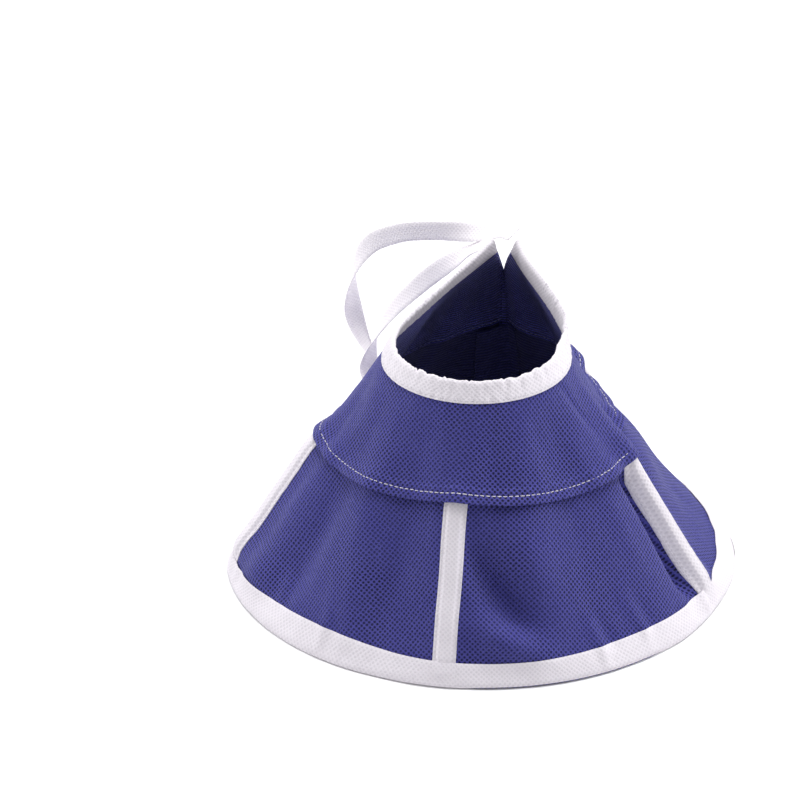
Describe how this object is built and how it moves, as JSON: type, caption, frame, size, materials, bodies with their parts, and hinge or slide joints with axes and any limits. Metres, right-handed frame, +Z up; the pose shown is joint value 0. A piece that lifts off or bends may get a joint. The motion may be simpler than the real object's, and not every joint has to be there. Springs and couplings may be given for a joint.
{
  "type": "elizabethan collar",
  "caption": "Soft fabric cone collar for a small pet: blue gores on a white-bound hem, stiffened ribs, a yoke round the bound neck opening, a lapped closure and two neck ties.",
  "frame": {"origin": "centre of the round hem, on the surface the collar stands on", "axes": "+Z up through the neck opening, -Y the front of the collar, +Y the lapped closure at the back, +X the right side seen from the front"},
  "size_m": [0.2698, 0.3267, 0.1545],
  "materials": {
    "blue_fabric": "embossed nonwoven, soft sheen",
    "navy_lining": "ridged nonwoven, matt",
    "white_tape": "embossed nonwoven tape, matt",
    "stay_plastic": "translucent white polypropylene strip",
    "grip_tape": "hook-and-loop tape"
  },
  "bodies": {
    "front_right": {"skirt_front_right": "blue_fabric", "lining_front_right": "navy_lining", "facing_front_right": "navy_lining", "yoke_front_right": "blue_fabric", "hem_binding_front_right": "white_tape", "neck_binding_front_right": "white_tape", "rib_tape_front": "white_tape", "rib_stay_front": "stay_plastic", "rib_tape_right": "white_tape", "rib_stay_right": "stay_plastic"},
    "front_left": {"skirt_front_left": "blue_fabric", "lining_front_left": "navy_lining", "facing_front_left": "navy_lining", "yoke_front_left": "blue_fabric", "hem_binding_front_left": "white_tape", "neck_binding_front_left": "white_tape", "rib_tape_left": "white_tape", "rib_stay_left": "stay_plastic"},
    "right_wing": {"skirt_back_right": "blue_fabric", "lining_back_right": "navy_lining", "facing_back_right": "navy_lining", "yoke_back_right": "blue_fabric", "hem_binding_back_right": "white_tape", "neck_binding_back_right": "white_tape", "rib_tape_back_right": "white_tape", "rib_stay_back_right": "stay_plastic", "closure_underlap": "navy_lining", "loop_tape": "grip_tape", "tie_right": "white_tape"},
    "left_wing": {"skirt_back_left": "blue_fabric", "lining_back_left": "navy_lining", "facing_back_left": "navy_lining", "yoke_back_left": "blue_fabric", "hem_binding_back_left": "white_tape", "neck_binding_back_left": "white_tape", "rib_tape_back_left": "white_tape", "rib_stay_back_left": "stay_plastic", "hook_tape": "grip_tape", "tie_left": "white_tape"}
  },
  "joints": [
    {"name": "front_fold", "type": "hinge", "parent": "front_right", "child": "front_left", "pos_m": [-0.00667, -0.13902, 0.00202], "axis": [-0.0023, 0.4828, 0.8757], "range_deg": [0, 70]},
    {"name": "left_wing_open", "type": "hinge", "parent": "front_left", "child": "left_wing", "pos_m": [-0.13336, -0.03878, 0.00236], "axis": [0.5378, 0.1952, 0.8202], "range_deg": [0, 90]},
    {"name": "right_wing_open", "type": "hinge", "parent": "front_right", "child": "right_wing", "pos_m": [0.13336, -0.03878, 0.00236], "axis": [0.5378, -0.1952, -0.8202], "range_deg": [0, 90]}
  ],
  "couplings": [
    {"joint": "right_wing_open", "follows": "left_wing_open", "ratio": 1}
  ]
}
